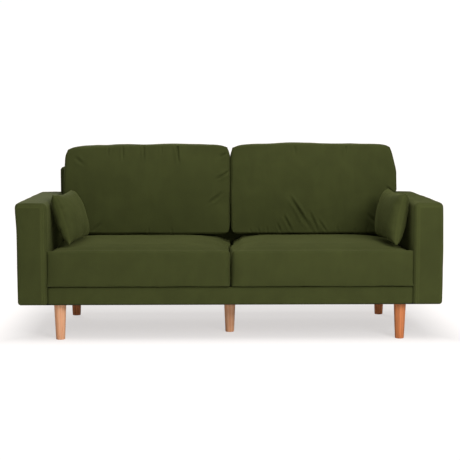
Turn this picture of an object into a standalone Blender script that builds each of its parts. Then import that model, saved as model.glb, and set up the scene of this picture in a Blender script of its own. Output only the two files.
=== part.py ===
"""Two-cushion velvet sofa with box arms on five turned wooden legs.

Metres, +Z up. The origin is on the floor at the middle of the footprint, the front faces -Y, and
left is at -X. Every timber, spring, fastener, cover and filling is its own closed object.
"""

import math

import bmesh
import bpy
from mathutils import Matrix, Vector

# Overall sizes
WIDTH = 2.000
DEPTH = 0.850
UNDERSIDE = 0.175  # floor to the cloth under the frame
ARM_TOP = 0.655
BACK_TOP = 0.790  # top of the upholstered back, without its cushions
ARM_WIDTH = 0.143
BACK_DEPTH = 0.140
BASE_HEIGHT = 0.085  # underside to the deck that the seat cushions lie on

# Materials' thicknesses and the gaps between pieces
GAP = 0.0003
FABRIC = 0.003  # velvet with its backing
DUST_CLOTH = 0.0015
DECK_CLOTH = 0.002
ARM_PADDING = 0.016
BACK_FRONT_PADDING = 0.030
BACK_TOP_PADDING = 0.020
BOARD = 0.025
PLYWOOD = 0.018
TIMBER_INSET = 0.005  # keeps square timber inside rounded covers
ARM_RADIUS = 0.025
BACK_RADIUS = 0.015

# Base
RAIL_TOP = 0.235
LEG_BOARD = 0.040  # thickness of the boards that the legs screw into
APRON_RECESS = 0.006
APRON_WALL = 0.009
APRON_ROLL = 0.020  # depth of the foam roll on the front rail
CORNER_BLOCK = 0.090
CENTRE_RAIL_WIDTH = 0.080
DUST_CLOTH_INSET = 0.012

# Legs
LEG_SIDE_INSET = 0.190  # sofa's side to the leg's axis
LEG_FRONT_INSET = 0.085
LEG_REAR_INSET = 0.091
CENTRE_LEG_INSET = 0.268  # sofa's front to the middle leg's axis
LEG_TOP_RADIUS = 0.0295
LEG_FOOT_RADIUS = 0.021
LEG_CHAMFER = 0.0015
BOLT_RADIUS = 0.004
BOLT_IN_LEG = 0.050
BOLT_IN_BOARD = 0.034
BOLT_POINT = 0.008
LEG_HOLE_CLEARANCE = 0.0015  # round each leg, in the dust cloth

# Springs
SPRINGS_PER_SEAT = 3
WIRE_RADIUS = 0.0019
SPRING_HALF_WIDTH = 0.026
SPRING_BENDS = 13
ARC_POINTS = 3

# Seat and back cushions
SEAT_CUSHION_HEIGHT = 0.185
SEAT_REAR_CLEARANCE = 0.010
BACK_CUSHION_HEIGHT = 0.470
BACK_CUSHION_THICKNESS = 0.165
BACK_CUSHION_LEAN = math.radians(4.5)
CUSHION_SIDE_CLEARANCE = 0.0005
CUSHION_MIDDLE_GAP = 0.002
BACK_CUSHION_SIDE_CLEARANCE = 0.004
LEAN_CLEARANCE = 0.004
CUSHION_WALL = 0.012  # velvet with its polyester wrap
CORNER_EASE = 0.003  # extra rounding that keeps a filling's corners clear of its cover
SEAT_CUSHION_RADIUS = 0.028
BACK_CUSHION_RADIUS = 0.050
ZIP_SLOT = 0.006
ZIP_END = 0.080  # cushion's end to the end of its zip

# Zip sliders
SLIDER_LENGTH = 0.012
SLIDER_BODY = 0.005
SLIDER_SINK = 0.003
TAB_LENGTH = 0.024
TAB_WIDTH = 0.006
TAB_THICKNESS = 0.0015

# Scatter cushions
SCATTER_LENGTH = 0.400
SCATTER_HEIGHT = 0.270
SCATTER_THICKNESS = 0.115
SCATTER_SEAM = 0.016  # thickness left at the seam
SCATTER_FROM_ARM = 0.002
SCATTER_FROM_BACK = {"left": 0.035, "right": 0.070}
SCATTER_YAW = {"left": math.radians(6.5), "right": math.radians(2.0)}
SCATTER_LEAN = {"left": math.radians(18.0), "right": math.radians(10.0)}

# Places worked out from the sizes
FRONT_Y = -DEPTH / 2
REAR_Y = DEPTH / 2
ARM_INNER = WIDTH / 2 - ARM_WIDTH
ARM_TIMBER_INSET = FABRIC + GAP + ARM_PADDING + TIMBER_INSET
BACK_HALF_WIDTH = ARM_INNER + ARM_TIMBER_INSET - GAP
BACK_FRONT_Y = REAR_Y - BACK_DEPTH
COVER_BOTTOM = UNDERSIDE + DUST_CLOTH + GAP
RAIL_BOTTOM = COVER_BOTTOM + FABRIC + GAP
DECK_TOP = UNDERSIDE + BASE_HEIGHT
BASE_HALF_WIDTH = ARM_INNER - GAP
FRONT_RAIL_Y = FRONT_Y + APRON_RECESS + APRON_WALL + GAP
BASE_REAR_Y = REAR_Y - FABRIC - TIMBER_INSET
SPRING_RAIL_Y = BACK_FRONT_Y - BOARD - 2 * GAP
LEG_BOARD_TOP = RAIL_BOTTOM + LEG_BOARD
LEG_X = WIDTH / 2 - LEG_SIDE_INSET
SEAT_BOTTOM = DECK_TOP + GAP
SEAT_TOP = SEAT_BOTTOM + SEAT_CUSHION_HEIGHT
SIDES = {"left": -1, "right": 1}
LEG_PLACES = {
    "front_left": (-LEG_X, FRONT_Y + LEG_FRONT_INSET),
    "front_right": (LEG_X, FRONT_Y + LEG_FRONT_INSET),
    "front_centre": (0.0, FRONT_Y + CENTRE_LEG_INSET),
    "rear_left": (-LEG_X, REAR_Y - LEG_REAR_INSET),
    "rear_right": (LEG_X, REAR_Y - LEG_REAR_INSET),
}


def clear_scene():
    for obj in list(bpy.data.objects):
        bpy.data.objects.remove(obj, do_unlink=True)


def new_collection(name):
    made = bpy.data.collections.new(name)
    bpy.context.scene.collection.children.link(made)
    return made


def new_material(name, colour, roughness, metallic=0.0):
    made = bpy.data.materials.new(name)
    made.use_nodes = True
    shader = made.node_tree.nodes["Principled BSDF"]
    shader.inputs["Base Color"].default_value = (*colour, 1.0)
    shader.inputs["Roughness"].default_value = roughness
    shader.inputs["Metallic"].default_value = metallic
    made.diffuse_color = (*colour, 1.0)
    return made


clear_scene()
SOFA = new_collection("sofa_with_wooden_legs")
CUTTERS = new_collection("cutters")
VELVET = new_material("olive_velvet", (0.052, 0.062, 0.016), 0.85)
FOAM = new_material("foam", (0.78, 0.72, 0.50), 0.95)
FIBRE = new_material("polyester_fibre", (0.85, 0.85, 0.83), 0.95)
TIMBER = new_material("frame_timber", (0.55, 0.38, 0.21), 0.75)
LEG_WOOD = new_material("leg_wood", (0.62, 0.27, 0.11), 0.42)
STEEL = new_material("steel", (0.56, 0.56, 0.58), 0.35, 1.0)
BLACK_CLOTH = new_material("black_cloth", (0.012, 0.012, 0.013), 0.95)


def add_object(name, data, finish, collection, parent=None):
    """Puts new data in the scene. With no finish it is a cutter, which renders leave out."""
    obj = bpy.data.objects.new(name, data)
    collection.objects.link(obj)
    if finish is None:
        obj.hide_render = True
        obj.display_type = "WIRE"
    else:
        data.materials.append(finish)
    if parent is not None:
        obj.parent = parent
    return obj


def box(name, low, high, finish, parent=None, open_below=False):
    """A box between two corners, measured from its parent where it has one."""
    low, high = Vector(low), Vector(high)
    shape = bmesh.new()
    bmesh.ops.create_cube(shape, size=1.0)
    bmesh.ops.scale(shape, vec=high - low, verts=shape.verts)
    if open_below:
        bottom = [face for face in shape.faces if face.normal.z < -0.5]
        bmesh.ops.delete(shape, geom=bottom, context="FACES_ONLY")
    mesh = bpy.data.meshes.new(name)
    shape.to_mesh(mesh)
    shape.free()
    collection = CUTTERS if finish is None else SOFA
    obj = add_object(name, mesh, finish, collection, parent)
    obj.location = (low + high) / 2
    return obj


def round_edges(obj, radius, segments=3):
    modifier = obj.modifiers.new("rounded_edges", "BEVEL")
    modifier.width = radius
    modifier.segments = segments
    modifier.limit_method = "ANGLE"
    modifier.harden_normals = False


def thicken(obj, wall):
    """Gives an open or hollow surface its wall, inwards from the outer face."""
    modifier = obj.modifiers.new("wall", "SOLIDIFY")
    modifier.thickness = wall
    modifier.offset = -1.0
    modifier.use_even_offset = True


def combine(obj, other, operation):
    modifier = obj.modifiers.new(f"{operation.lower()}_{other.name}", "BOOLEAN")
    modifier.operation = operation
    modifier.solver = "EXACT"
    modifier.object = other


def shade_smooth(mesh):
    mesh.shade_smooth()
    mesh.set_sharp_from_angle(angle=math.radians(35))


def turned(name, profile, place, finish, steps):
    """A turned shape about Z from a profile of (radius, height) that runs from its top down."""
    mesh = bpy.data.meshes.new(name)
    corners = [(radius, 0.0, height) for radius, height in profile]
    mesh.from_pydata(corners, [(i, i + 1) for i in range(len(corners) - 1)], [])
    collection = CUTTERS if finish is None else SOFA
    obj = add_object(name, mesh, finish, collection)
    obj.location = place
    screw = obj.modifiers.new("turned", "SCREW")
    screw.steps = steps
    screw.render_steps = steps
    screw.use_merge_vertices = True
    screw.merge_threshold = 0.00005
    return obj


def empty(name, place, rotation=None):
    """The origin of a piece that moves."""
    obj = bpy.data.objects.new(name, None)
    obj.empty_display_size = 0.05
    SOFA.objects.link(obj)
    obj.location = place
    if rotation is not None:
        obj.rotation_euler = rotation.to_euler()
    return obj


def build_legs(boards):
    """Tapered legs on hanger bolts, each bored into the board above it."""
    for name, (x, y) in LEG_PLACES.items():
        top = RAIL_BOTTOM - GAP
        profile = [
            (0.0, top),
            (LEG_TOP_RADIUS - LEG_CHAMFER, top),
            (LEG_TOP_RADIUS, top - LEG_CHAMFER),
            (LEG_FOOT_RADIUS, LEG_CHAMFER),
            (LEG_FOOT_RADIUS - LEG_CHAMFER, 0.0),
            (0.0, 0.0),
        ]
        leg = turned(f"{name}_leg", profile, (x, y, 0), LEG_WOOD, 28)
        hole = bolt_shape(f"{name}_bolt_hole", (x, y, top), None, GAP)
        combine(leg, hole, "DIFFERENCE")
        combine(boards[name], hole, "DIFFERENCE")
        bolt_shape(f"{name}_hanger_bolt", (x, y, top), STEEL, 0.0)


def bolt_shape(name, place, finish, growth):
    """A hanger bolt about the joint between leg and board, or the hole for one if it is grown."""
    radius = BOLT_RADIUS + growth
    upper, lower = BOLT_IN_BOARD + growth, -BOLT_IN_LEG - growth
    profile = [(0.0, upper), (radius, upper), (radius, lower + BOLT_POINT), (0.0, lower)]
    return turned(name, profile, place, finish, 12)


def build_base():
    """Timber frame between the arms. Returns the board above each leg."""
    low, side = RAIL_BOTTOM, BASE_HALF_WIDTH
    rail_back = FRONT_RAIL_Y + BOARD
    inner = side - BOARD - GAP
    box("front_rail", (-side, FRONT_RAIL_Y, low), (side, rail_back, RAIL_TOP), TIMBER)
    box(
        "spring_rail",
        (-inner, SPRING_RAIL_Y, low),
        (inner, SPRING_RAIL_Y + BOARD, RAIL_TOP),
        TIMBER,
    )
    rear = box(
        "rear_board",
        (-inner, BACK_FRONT_Y - GAP, low),
        (inner, BASE_REAR_Y, LEG_BOARD_TOP),
        TIMBER,
    )
    half = CENTRE_RAIL_WIDTH / 2
    centre = box(
        "centre_rail",
        (-half, rail_back + GAP, low),
        (half, SPRING_RAIL_Y - GAP, LEG_BOARD_TOP),
        TIMBER,
    )
    boards = {"front_centre": centre, "rear_left": rear, "rear_right": rear}
    for name, sign in SIDES.items():
        x = sorted((sign * (inner + GAP), sign * side))
        box(
            f"{name}_side_rail",
            (x[0], rail_back + GAP, low),
            (x[1], BASE_REAR_Y, RAIL_TOP),
            TIMBER,
        )
        x = sorted((sign * (inner - CORNER_BLOCK), sign * inner))
        boards[f"front_{name}"] = box(
            f"{name}_corner_block",
            (x[0], rail_back + GAP, low),
            (x[1], rail_back + GAP + CORNER_BLOCK, LEG_BOARD_TOP),
            TIMBER,
        )
    return boards


def build_apron():
    """Padded velvet strip wrapped round the front rail, with a foam roll on top."""
    front = FRONT_Y + APRON_RECESS
    inner = FRONT_RAIL_Y - GAP
    roll = front + APRON_ROLL
    under = FRONT_RAIL_Y + BOARD
    outline = [
        (front, COVER_BOTTOM),
        (under, COVER_BOTTOM),
        (under, RAIL_BOTTOM - GAP),
        (inner, RAIL_BOTTOM - GAP),
        (inner, RAIL_TOP + GAP),
        (roll, RAIL_TOP + GAP),
        (roll, DECK_TOP),
        (front, DECK_TOP),
    ]
    mesh = bpy.data.meshes.new("front_apron")
    shape = bmesh.new()
    corners = [shape.verts.new((-BASE_HALF_WIDTH, y, z)) for y, z in outline]
    end = shape.faces.new(reversed(corners))
    swept = bmesh.ops.extrude_face_region(shape, geom=[end])["geom"]
    moved = [item for item in swept if isinstance(item, bmesh.types.BMVert)]
    bmesh.ops.translate(shape, vec=(2 * BASE_HALF_WIDTH, 0, 0), verts=moved)
    bmesh.ops.recalc_face_normals(shape, faces=shape.faces)
    shape.to_mesh(mesh)
    shape.free()
    add_object("front_apron", mesh, VELVET, SOFA)


def spring_points(y_start, y_end, z_ends, z_crown):
    """Centreline of a zigzag spring along Y: cross bars joined by half turns, arched in the middle."""
    pitch = (y_end - y_start) / SPRING_BENDS
    turn = pitch / 2
    bar = SPRING_HALF_WIDTH - turn
    flat = []
    for i in range(SPRING_BENDS + 1):
        side = 1 if i % 2 == 0 else -1
        y = y_start + i * pitch
        flat += [(-side * bar, y), (side * bar, y)]
        if i < SPRING_BENDS:
            for k in range(1, ARC_POINTS + 1):
                angle = math.pi * k / (ARC_POINTS + 1)
                flat.append((side * (bar + turn * math.sin(angle)), y + turn * (1 - math.cos(angle))))
    points = []
    for x, y in flat:
        along = (y - y_start) / (y_end - y_start)
        points.append((x, y, z_ends + (z_crown - z_ends) * math.sin(math.pi * along)))
    return points


def build_springs():
    """Zigzag springs from the front rail to the spring rail, evenly spaced under each seat."""
    y_start = FRONT_Y + APRON_RECESS + APRON_ROLL + GAP + 2 * WIRE_RADIUS
    y_end = SPRING_RAIL_Y + BOARD - 2 * WIRE_RADIUS
    z_ends = RAIL_TOP + GAP + WIRE_RADIUS
    z_crown = DECK_TOP - DECK_CLOTH - GAP - WIRE_RADIUS
    points = spring_points(y_start, y_end, z_ends, z_crown)
    spacing = BASE_HALF_WIDTH / (SPRINGS_PER_SEAT + 1)
    for name, sign in SIDES.items():
        for number in range(1, SPRINGS_PER_SEAT + 1):
            label = f"{name}_seat_spring_{number}"
            curve = bpy.data.curves.new(label, "CURVE")
            curve.dimensions = "3D"
            curve.bevel_depth = WIRE_RADIUS
            curve.bevel_resolution = 1
            curve.use_fill_caps = True
            line = curve.splines.new("POLY")
            line.points.add(len(points) - 1)
            for target, point in zip(line.points, points):
                target.co = (*point, 1.0)
            spring = add_object(label, curve, STEEL, SOFA)
            spring.location = (sign * number * spacing, 0, 0)


def build_cloths():
    """The cloth that the seat cushions lie on, and the black cloth stapled under the frame."""
    front = FRONT_Y + APRON_RECESS + APRON_ROLL + GAP
    box(
        "deck_cloth",
        (-BASE_HALF_WIDTH, front, DECK_TOP - DECK_CLOTH),
        (BASE_HALF_WIDTH, BACK_FRONT_Y - GAP, DECK_TOP),
        BLACK_CLOTH,
    )
    x, y = WIDTH / 2 - DUST_CLOTH_INSET, DEPTH / 2 - DUST_CLOTH_INSET
    cloth = box("dust_cloth", (-x, -y, UNDERSIDE), (x, y, UNDERSIDE + DUST_CLOTH), BLACK_CLOTH)
    for name, (leg_x, leg_y) in LEG_PLACES.items():
        radius = LEG_TOP_RADIUS + LEG_HOLE_CLEARANCE
        reach = 2 * DUST_CLOTH
        profile = [(0.0, reach), (radius, reach), (radius, -reach), (0.0, -reach)]
        hole = turned(f"{name}_cloth_hole", profile, (leg_x, leg_y, UNDERSIDE), None, 28)
        combine(cloth, hole, "DIFFERENCE")


def build_arm(name, sign, back_room):
    """One box arm: four boards, a foam skin and a velvet cover, both cut away for the back."""
    inner, outer = sign * ARM_INNER, sign * WIDTH / 2

    def across(inset):
        return sorted((inner + sign * inset, outer - sign * inset))

    x = across(0.0)
    cover = box(
        f"{name}_arm_cover",
        (x[0], FRONT_Y, COVER_BOTTOM),
        (x[1], REAR_Y, ARM_TOP),
        VELVET,
        open_below=True,
    )
    round_edges(cover, ARM_RADIUS)
    thicken(cover, FABRIC)
    combine(cover, back_room, "DIFFERENCE")
    inset = FABRIC + GAP
    x = across(inset)
    padding = box(
        f"{name}_arm_padding",
        (x[0], FRONT_Y + inset, COVER_BOTTOM),
        (x[1], REAR_Y - inset, ARM_TOP - inset),
        FOAM,
        open_below=True,
    )
    round_edges(padding, ARM_RADIUS - inset + CORNER_EASE)
    thicken(padding, ARM_PADDING)
    combine(padding, back_room, "DIFFERENCE")
    inset = ARM_TIMBER_INSET
    x = across(inset)
    y_front, y_rear, top = FRONT_Y + inset, REAR_Y - inset, ARM_TOP - inset
    low = COVER_BOTTOM
    box(f"{name}_arm_bottom_board", (x[0], y_front, low), (x[1], y_rear, low + BOARD), TIMBER)
    box(f"{name}_arm_top_board", (x[0], y_front, top - BOARD), (x[1], y_rear, top), TIMBER)
    post_low, post_top = low + BOARD + GAP, top - BOARD - GAP
    box(f"{name}_arm_front_post", (x[0], y_front, post_low), (x[1], y_front + BOARD, post_top), TIMBER)
    box(f"{name}_arm_rear_post", (x[0], y_rear - BOARD, post_low), (x[1], y_rear, post_top), TIMBER)


def build_back():
    """Plywood uprights and a top board under foam and velvet. The front cover ends at the deck."""
    half = BACK_HALF_WIDTH
    cover = box(
        "back_cover",
        (-half, BACK_FRONT_Y, COVER_BOTTOM),
        (half, REAR_Y, BACK_TOP),
        VELVET,
        open_below=True,
    )
    round_edges(cover, BACK_RADIUS)
    thicken(cover, FABRIC)
    base_room = box(
        "base_room",
        (-WIDTH, BACK_FRONT_Y - BOARD, 0.0),
        (WIDTH, REAR_Y - 1.5 * FABRIC, SEAT_BOTTOM),
        None,
    )
    combine(cover, base_room, "DIFFERENCE")
    inset = FABRIC + GAP
    padding = box(
        "back_padding",
        (-half + inset, BACK_FRONT_Y + inset, SEAT_BOTTOM + GAP),
        (half - inset, REAR_Y - inset, BACK_TOP - inset),
        FOAM,
    )
    round_edges(padding, BACK_RADIUS - inset + CORNER_EASE)
    timber_front = BACK_FRONT_Y + inset + BACK_FRONT_PADDING
    timber_top = BACK_TOP - inset - BACK_TOP_PADDING
    timber_room = box(
        "timber_room",
        (-WIDTH, timber_front, 0.0),
        (WIDTH, DEPTH, timber_top),
        None,
    )
    combine(padding, timber_room, "DIFFERENCE")
    front, top = timber_front + GAP, timber_top - GAP
    reach = half - FABRIC - TIMBER_INSET
    box("back_top_board", (-reach, front, top - BOARD), (reach, BASE_REAR_Y, top), TIMBER)
    side = BASE_HALF_WIDTH - BOARD - GAP - PLYWOOD / 2
    for name, x in (("left", -side), ("centre", 0.0), ("right", side)):
        box(
            f"back_{name}_upright",
            (x - PLYWOOD / 2, front, LEG_BOARD_TOP + GAP),
            (x + PLYWOOD / 2, BASE_REAR_Y, top - BOARD - GAP),
            TIMBER,
        )


def zip_slider(name, zip_half_length, face_y, height, parent):
    """A slider in the zip's slot, closed at its -X end, with its pull tab hanging outside."""
    x = -zip_half_length + SLIDER_LENGTH
    half = SLIDER_BODY / 2
    low = (x - SLIDER_LENGTH / 2, face_y - SLIDER_SINK, height - half)
    high = (x + SLIDER_LENGTH / 2, face_y + TAB_THICKNESS, height + half)
    slider = box(name, low, high, STEEL, parent)
    tab = box(
        f"{name}_tab",
        (x - TAB_WIDTH / 2, face_y + GAP, height - TAB_LENGTH),
        (x + TAB_WIDTH / 2, face_y + GAP + TAB_THICKNESS, height),
        None,
        parent,
    )
    combine(slider, tab, "UNION")


def loose_cushion(name, size, radius, filling, parent, zip_height):
    """A zipped cover with its filling, about the parent's origin. The zip is in the rear face."""
    half = Vector(size) / 2
    cover = box(f"{name}_cover", -half, half, VELVET, parent)
    round_edges(cover, radius)
    thicken(cover, CUSHION_WALL)
    zip_half_length = half.x - ZIP_END
    slot = box(
        f"{name}_zip_slot",
        (-zip_half_length, half.y - 2 * CUSHION_WALL, zip_height - ZIP_SLOT / 2),
        (zip_half_length, half.y + CUSHION_WALL, zip_height + ZIP_SLOT / 2),
        None,
        parent,
    )
    combine(cover, slot, "DIFFERENCE")
    inset = CUSHION_WALL + GAP
    inside = half - Vector((inset, inset, inset))
    core = box(f"{name}_filling", -inside, inside, filling, parent)
    round_edges(core, radius - inset + CORNER_EASE)
    zip_slider(f"{name}_zip_slider", zip_half_length, half.y, zip_height, parent)


def cushion_middle(sign, side_clearance):
    """(x of a seat's middle, width of the cushion on it), for one side of the sofa."""
    outer = ARM_INNER - side_clearance
    inner = CUSHION_MIDDLE_GAP / 2
    return sign * (outer + inner) / 2, outer - inner


def build_seat_cushion(name, sign):
    x, width = cushion_middle(sign, CUSHION_SIDE_CLEARANCE)
    rear = BACK_FRONT_Y - SEAT_REAR_CLEARANCE
    place = (x, (FRONT_Y + rear) / 2, SEAT_BOTTOM + SEAT_CUSHION_HEIGHT / 2)
    parent = empty(f"{name}_seat_cushion_origin", place)
    size = (width, rear - FRONT_Y, SEAT_CUSHION_HEIGHT)
    loose_cushion(f"{name}_seat_cushion", size, SEAT_CUSHION_RADIUS, FOAM, parent, 0.0)


def back_cushion_centre():
    """(y, z) of a cushion that stands on the seat and leans on the back's top front edge."""
    sine, cosine = math.sin(BACK_CUSHION_LEAN), math.cos(BACK_CUSHION_LEAN)
    flat_height = BACK_CUSHION_HEIGHT / 2 - BACK_CUSHION_RADIUS
    flat_depth = BACK_CUSHION_THICKNESS / 2 - BACK_CUSHION_RADIUS
    half_height = flat_height * cosine + flat_depth * sine + BACK_CUSHION_RADIUS
    z = SEAT_TOP + GAP + half_height
    to_rear = BACK_CUSHION_THICKNESS / 2
    along = min((BACK_TOP - z + to_rear * sine) / cosine, flat_height)
    y = BACK_FRONT_Y - LEAN_CLEARANCE - to_rear * cosine - along * sine
    return y, z


def build_back_cushion(name, sign):
    x, width = cushion_middle(sign, BACK_CUSHION_SIDE_CLEARANCE)
    y, z = back_cushion_centre()
    lean = Matrix.Rotation(-BACK_CUSHION_LEAN, 3, "X")
    parent = empty(f"{name}_back_cushion_origin", (x, y, z), lean)
    size = (width, BACK_CUSHION_THICKNESS, BACK_CUSHION_HEIGHT)
    zip_height = -BACK_CUSHION_HEIGHT / 2 + BACK_CUSHION_RADIUS + ZIP_SLOT
    loose_cushion(f"{name}_back_cushion", size, BACK_CUSHION_RADIUS, FIBRE, parent, zip_height)


def scatter_cage(half):
    """The coarse cage of a stuffed oblong, thin along its seam and full in the middle."""
    shape = bmesh.new()
    bmesh.ops.create_cube(shape, size=2.0)
    bmesh.ops.subdivide_edges(shape, edges=shape.edges, cuts=3, use_grid_fill=True)
    for vertex in shape.verts:
        u, v = vertex.co.y, vertex.co.z
        fullness = (1 - abs(u) ** 3) * (1 - abs(v) ** 3)
        thickness = SCATTER_SEAM + (SCATTER_THICKNESS - SCATTER_SEAM) * fullness
        vertex.co = (vertex.co.x * thickness / 2, u * half.y, v * half.z)
    return shape


def build_scatter_cushion(name, sign):
    """A sewn-shut oblong cushion on its long edge, leaning on the arm, with its rear end turned in."""
    yaw = Matrix.Rotation(sign * SCATTER_YAW[name], 3, "Z")
    rotation = yaw @ Matrix.Rotation(sign * SCATTER_LEAN[name], 3, "Y")
    shape = scatter_cage(Vector((SCATTER_THICKNESS, SCATTER_LENGTH, SCATTER_HEIGHT)) / 2)
    mesh = bpy.data.meshes.new(f"{name}_scatter_cushion")
    shape.to_mesh(mesh)
    shape.free()
    reach = [rotation @ vertex.co for vertex in mesh.vertices]
    back_y, back_z = back_cushion_centre()
    half_thickness = BACK_CUSHION_THICKNESS / 2 / math.cos(BACK_CUSHION_LEAN)
    back_cushion_foot = back_y - half_thickness - (back_z - SEAT_TOP) * math.tan(BACK_CUSHION_LEAN)
    y = back_cushion_foot - SCATTER_FROM_BACK[name] - max(point.y for point in reach)
    z = SEAT_TOP + GAP - min(point.z for point in reach)
    beside_arm = [sign * point.x for point in reach if z + point.z < ARM_TOP]
    x = sign * (ARM_INNER - SCATTER_FROM_ARM - max(beside_arm))
    parent = empty(f"{name}_scatter_cushion_origin", (x, y, z), rotation)
    cushion = add_object(f"{name}_scatter_cushion", mesh, VELVET, SOFA, parent)
    soft = cushion.modifiers.new("soft", "SUBSURF")
    soft.levels = 1
    soft.render_levels = 1


def main():
    build_legs(build_base())
    build_apron()
    build_springs()
    build_cloths()
    build_back()
    back_room = box(
        "back_room",
        (-BACK_HALF_WIDTH - GAP, BACK_FRONT_Y - GAP, 0.0),
        (BACK_HALF_WIDTH + GAP, DEPTH, BACK_TOP + GAP),
        None,
    )
    for name, sign in SIDES.items():
        build_arm(name, sign, back_room)
        build_seat_cushion(name, sign)
        build_back_cushion(name, sign)
        build_scatter_cushion(name, sign)
    for obj in SOFA.objects:
        if obj.type == "MESH":
            shade_smooth(obj.data)


main()
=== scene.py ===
"""Visible model of a two-cushion velvet sofa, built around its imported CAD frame."""

import math

import bmesh
import bpy
import numpy as np
from mathutils import Matrix, Vector, noise
from mathutils.bvhtree import BVHTree


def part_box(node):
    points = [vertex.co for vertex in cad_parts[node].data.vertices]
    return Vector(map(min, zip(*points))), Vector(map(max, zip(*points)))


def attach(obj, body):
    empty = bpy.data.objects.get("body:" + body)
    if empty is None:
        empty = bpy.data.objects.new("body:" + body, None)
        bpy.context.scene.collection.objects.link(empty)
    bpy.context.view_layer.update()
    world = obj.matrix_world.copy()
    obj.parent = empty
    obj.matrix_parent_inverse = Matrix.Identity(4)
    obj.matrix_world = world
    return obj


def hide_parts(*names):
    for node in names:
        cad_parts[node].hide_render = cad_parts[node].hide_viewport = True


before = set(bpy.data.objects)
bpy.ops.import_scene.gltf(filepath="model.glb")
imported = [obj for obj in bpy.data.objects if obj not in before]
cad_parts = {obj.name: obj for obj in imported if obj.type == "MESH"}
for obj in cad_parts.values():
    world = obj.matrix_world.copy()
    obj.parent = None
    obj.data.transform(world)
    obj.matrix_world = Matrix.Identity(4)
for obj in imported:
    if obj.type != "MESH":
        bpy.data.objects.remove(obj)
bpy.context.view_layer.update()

bl_info = {
    "name": "Velvet Sofa",
    "version": (1, 0, 0),
    "blender": (4, 5, 0),
    "location": "View3D > Sidebar > Sofa",
    "description": "Dresses a two-cushion sofa's CAD frame in velvet, wood and steel",
    "category": "Object",
}

SIDES = {"left": -1, "right": 1}
LEGS = {
    "front_left": "pale_leg",
    "front_right": "leg",
    # The front centre leg's lighter copy is painted light, against the shade under the seat.
    "front_centre": "pale_leg",
    "rear_left": "leg",
    "rear_right": "leg",
}

ARM_LOW, ARM_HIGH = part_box("right_arm_cover")
BACK_LOW, BACK_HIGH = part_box("back_cover")
APRON_LOW, APRON_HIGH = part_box("front_apron")
SEAT_LOW, SEAT_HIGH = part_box("right_seat_cushion_cover")

NEAR_END = 1e-6  # how close counts as on a block's face
NEAR_SEAM = 1e-4
SEAM_HALF_WIDTH = 0.0035
SEAM_FADE = 0.0045
NEIGHBOUR_GAP = 0.0008
MIDDLE_X = 0.009  # where the two back cushions press on each other
SEAT_SEAM_HEIGHT = 0.4305
SEAT_FRONT_ROOM = 0.013  # how far a seat's front may spread past the arm's inner side
BACK_CUSHION_SIZE = Vector((0.852, 0.165, 0.470))
BACK_CUSHION_LEAN = math.radians(4.5)
SCATTER_SIZE = Vector((0.115, 0.400, 0.270))
SCATTER_YAW = {"left": math.radians(6.5), "right": math.radians(4.0)}
SCATTER_TILT = {"left": math.radians(18.0), "right": math.radians(10.0)}
SCATTER_DROP = 0.006  # onto the seat's crown, which falls away beside the arms
SEAT_ZIP_HALF = 0.34775
BACK_ZIP_HALF = 0.346
BACK_ZIP_HEIGHT = -0.179  # from the middle of a back cushion
ZIP_TOOTH_PITCH = 0.0030
STAPLE_SPACING = 0.055
ARM_NOTCH_X = 0.8816  # arm's inner side where the back fits between the arms
ARM_FRONT_RADIUS = 0.016
BACK_RADIUS = 0.015
APRON_RADIUS = 0.009
BACK_FRONT_Y = BACK_LOW.y


# --- properties -------------------------------------------------------------------------------


class SofaShape(bpy.types.PropertyGroup):
    """Sizes that shape the upholstery."""

    cloth_grid: bpy.props.FloatProperty(
        name="Cloth grid",
        description="Distance between the points of a cushion before it is subdivided",
        default=0.0125,
        min=0.006,
        unit="LENGTH",
    )
    fine_cloth_grid: bpy.props.FloatProperty(
        name="Fine cloth grid",
        description="The same on the back cushions, whose creases need closer points",
        default=0.0095,
        min=0.006,
        unit="LENGTH",
    )
    cloth_frames: bpy.props.IntProperty(
        name="Cloth frames",
        description="Frames for which a cushion's cover is left to swell",
        default=20,
        min=2,
    )
    cloth_pressure: bpy.props.FloatProperty(
        name="Pressure",
        description="Push of a cushion's filling on its cover",
        default=4.0,
        min=0.0,
    )
    swell_cap: bpy.props.FloatProperty(
        name="Most swelling",
        description="Farthest that a point of a cushion's cover may move as it swells",
        default=0.026,
        unit="LENGTH",
    )
    arm_edge: bpy.props.FloatProperty(
        name="Arm edge radius",
        description="Rounding of the arms' padded edges",
        default=0.024,
        unit="LENGTH",
    )
    arm_crown: bpy.props.FloatProperty(
        name="Arm crown",
        description="How far the padding stands up in the middle of an arm's top",
        default=0.005,
        unit="LENGTH",
    )
    seam_depth: bpy.props.FloatProperty(
        name="Seam depth",
        description="How far a sewn seam draws the cover in",
        default=0.0024,
        unit="LENGTH",
    )


class SofaFinish(bpy.types.PropertyGroup):
    """Colours of the finishes, as linear light."""

    velvet: bpy.props.FloatVectorProperty(
        name="Velvet",
        description="Colour of the velvet with its pile brushed down",
        subtype="COLOR",
        default=(0.0537, 0.0615, 0.0167),
        min=0.0,
        max=1.0,
    )
    velvet_sheen: bpy.props.FloatProperty(
        name="Velvet sheen",
        description="Strength of the soft light along the velvet's edges",
        default=0.16,
        min=0.0,
        max=1.0,
    )
    leg_wood: bpy.props.FloatVectorProperty(
        name="Leg wood",
        description="Main colour of the lacquered hardwood legs",
        subtype="COLOR",
        default=(0.80, 0.262, 0.089),
        min=0.0,
        max=1.0,
    )


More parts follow.
